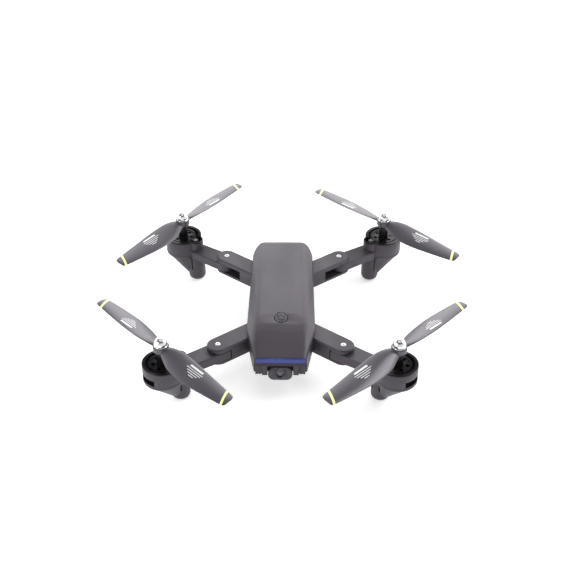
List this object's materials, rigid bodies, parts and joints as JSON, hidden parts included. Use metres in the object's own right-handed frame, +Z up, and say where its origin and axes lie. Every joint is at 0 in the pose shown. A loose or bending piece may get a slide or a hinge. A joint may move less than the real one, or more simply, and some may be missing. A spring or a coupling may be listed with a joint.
{
  "type": "folding quadcopter drone",
  "caption": "Small folding camera quadcopter with geared rotors, rigid two-blade propellers, a tilting nose camera and swing-out arms on landing legs.",
  "frame": {"origin": "centre of the whole object's bounding box, in the plane of the feet", "axes": "+Z up along the rotor axes, -Y towards the camera end, +X to the right of a viewer who looks at the camera end"},
  "size_m": [0.2455, 0.2534, 0.0528],
  "materials": {
    "canopy_plastic": "satin",
    "frame_plastic": "satin",
    "arm_plastic": "satin",
    "nose_plastic": "satin",
    "window_blue": "gloss",
    "camera_plastic": "satin",
    "black_plastic": "satin",
    "lens_glass": "gloss",
    "led_smoke": "gloss",
    "propeller_plastic": "satin",
    "chrome": "polished",
    "steel": "satin",
    "brass": "satin",
    "board_green": "satin",
    "battery_wrap": "satin"
  },
  "bodies": {
    "airframe": {"canopy": "canopy_plastic", "upper_frame": "frame_plastic", "bottom_shell": "frame_plastic", "nose_grille": "nose_plastic", "nose_window": "window_blue", "main_board": "board_green", "board_chips": "black_plastic", "pivot_pins": "steel", "shell_screws": "steel", "floor_sensor": "black_plastic"},
    "camera": {"camera_body": "camera_plastic", "camera_lens_ring": "black_plastic", "camera_glass": "lens_glass"},
    "power_key": {"power_key": "canopy_plastic"},
    "battery": {"battery_pack": "battery_wrap", "battery_cap": "frame_plastic"},
    "arm_fl": {"arm_fl": "arm_plastic", "leg_fl": "arm_plastic", "led_lens_fl": "led_smoke", "gear_base_fl": "black_plastic", "motor_fl": "steel", "bushings_fl": "brass"},
    "rotor_fl": {"rotor_shaft_fl": "steel", "main_gear_fl": "black_plastic", "propeller_fl": "propeller_plastic", "spinner_cap_fl": "chrome"},
    "pinion_fl": {"pinion_fl": "steel"},
    "arm_fr": {"arm_fr": "arm_plastic", "leg_fr": "arm_plastic", "led_lens_fr": "led_smoke", "gear_base_fr": "black_plastic", "motor_fr": "steel", "bushings_fr": "brass"},
    "rotor_fr": {"rotor_shaft_fr": "steel", "main_gear_fr": "black_plastic", "propeller_fr": "propeller_plastic", "spinner_cap_fr": "chrome"},
    "pinion_fr": {"pinion_fr": "steel"},
    "arm_rl": {"arm_rl": "arm_plastic", "leg_rl": "arm_plastic", "led_lens_rl": "led_smoke", "gear_base_rl": "black_plastic", "motor_rl": "steel", "bushings_rl": "brass"},
    "rotor_rl": {"rotor_shaft_rl": "steel", "main_gear_rl": "black_plastic", "propeller_rl": "propeller_plastic", "spinner_cap_rl": "chrome"},
    "pinion_rl": {"pinion_rl": "steel"},
    "arm_rr": {"arm_rr": "arm_plastic", "leg_rr": "arm_plastic", "led_lens_rr": "led_smoke", "gear_base_rr": "black_plastic", "motor_rr": "steel", "bushings_rr": "brass"},
    "rotor_rr": {"rotor_shaft_rr": "steel", "main_gear_rr": "black_plastic", "propeller_rr": "propeller_plastic", "spinner_cap_rr": "chrome"},
    "pinion_rr": {"pinion_rr": "steel"}
  },
  "joints": [
    {"name": "fold_fl", "type": "hinge", "parent": "airframe", "child": "arm_fl", "pos_m": [-0.0407, -0.0533, 0.025], "axis": [0, 0, 1], "range_deg": [-100, 0]},
    {"name": "spin_fl", "type": "hinge", "parent": "arm_fl", "child": "rotor_fl", "pos_m": [-0.074, -0.0756, 0.0336], "axis": [0, 0, 1], "continuous": true},
    {"name": "pinion_spin_fl", "type": "hinge", "parent": "arm_fl", "child": "pinion_fl", "pos_m": [-0.06469, -0.06937, 0.0336], "axis": [0, 0, 1], "continuous": true},
    {"name": "fold_fr", "type": "hinge", "parent": "airframe", "child": "arm_fr", "pos_m": [0.0407, -0.0533, 0.025], "axis": [0, 0, 1], "range_deg": [0, 100]},
    {"name": "spin_fr", "type": "hinge", "parent": "arm_fr", "child": "rotor_fr", "pos_m": [0.074, -0.0756, 0.0336], "axis": [0, 0, 1], "continuous": true},
    {"name": "pinion_spin_fr", "type": "hinge", "parent": "arm_fr", "child": "pinion_fr", "pos_m": [0.06469, -0.06937, 0.0336], "axis": [0, 0, 1], "continuous": true},
    {"name": "fold_rl", "type": "hinge", "parent": "airframe", "child": "arm_rl", "pos_m": [-0.0407, 0.0481, 0.025], "axis": [0, 0, 1], "range_deg": [0, 100]},
    {"name": "spin_rl", "type": "hinge", "parent": "arm_rl", "child": "rotor_rl", "pos_m": [-0.074, 0.0704, 0.0336], "axis": [0, 0, 1], "continuous": true},
    {"name": "pinion_spin_rl", "type": "hinge", "parent": "arm_rl", "child": "pinion_rl", "pos_m": [-0.06469, 0.06417, 0.0336], "axis": [0, 0, 1], "continuous": true},
    {"name": "fold_rr", "type": "hinge", "parent": "airframe", "child": "arm_rr", "pos_m": [0.0407, 0.0481, 0.025], "axis": [0, 0, 1], "range_deg": [-100, 0]},
    {"name": "spin_rr", "type": "hinge", "parent": "arm_rr", "child": "rotor_rr", "pos_m": [0.074, 0.0704, 0.0336], "axis": [0, 0, 1], "continuous": true},
    {"name": "pinion_spin_rr", "type": "hinge", "parent": "arm_rr", "child": "pinion_rr", "pos_m": [0.06469, 0.06417, 0.0336], "axis": [0, 0, 1], "continuous": true},
    {"name": "camera_tilt", "type": "hinge", "parent": "airframe", "child": "camera", "pos_m": [0, -0.0676, 0.021], "axis": [1, 0, 0], "range_deg": [0, 60]},
    {"name": "power_press", "type": "hinge", "parent": "airframe", "child": "power_key", "pos_m": [0, -0.031, 0.0376], "axis": [1, 0, 0], "range_deg": [0, 5], "stiffness_Nm_per_rad": 0.07},
    {"name": "battery_slide", "type": "slide", "parent": "airframe", "child": "battery", "axis": [0, 1, 0], "range_m": [0, 0.09]}
  ],
  "couplings": [
    {"joint": "pinion_spin_fl", "follows": "spin_fl", "ratio": -5.2222},
    {"joint": "pinion_spin_fr", "follows": "spin_fr", "ratio": -5.2222},
    {"joint": "pinion_spin_rl", "follows": "spin_rl", "ratio": -5.2222},
    {"joint": "pinion_spin_rr", "follows": "spin_rr", "ratio": -5.2222}
  ]
}
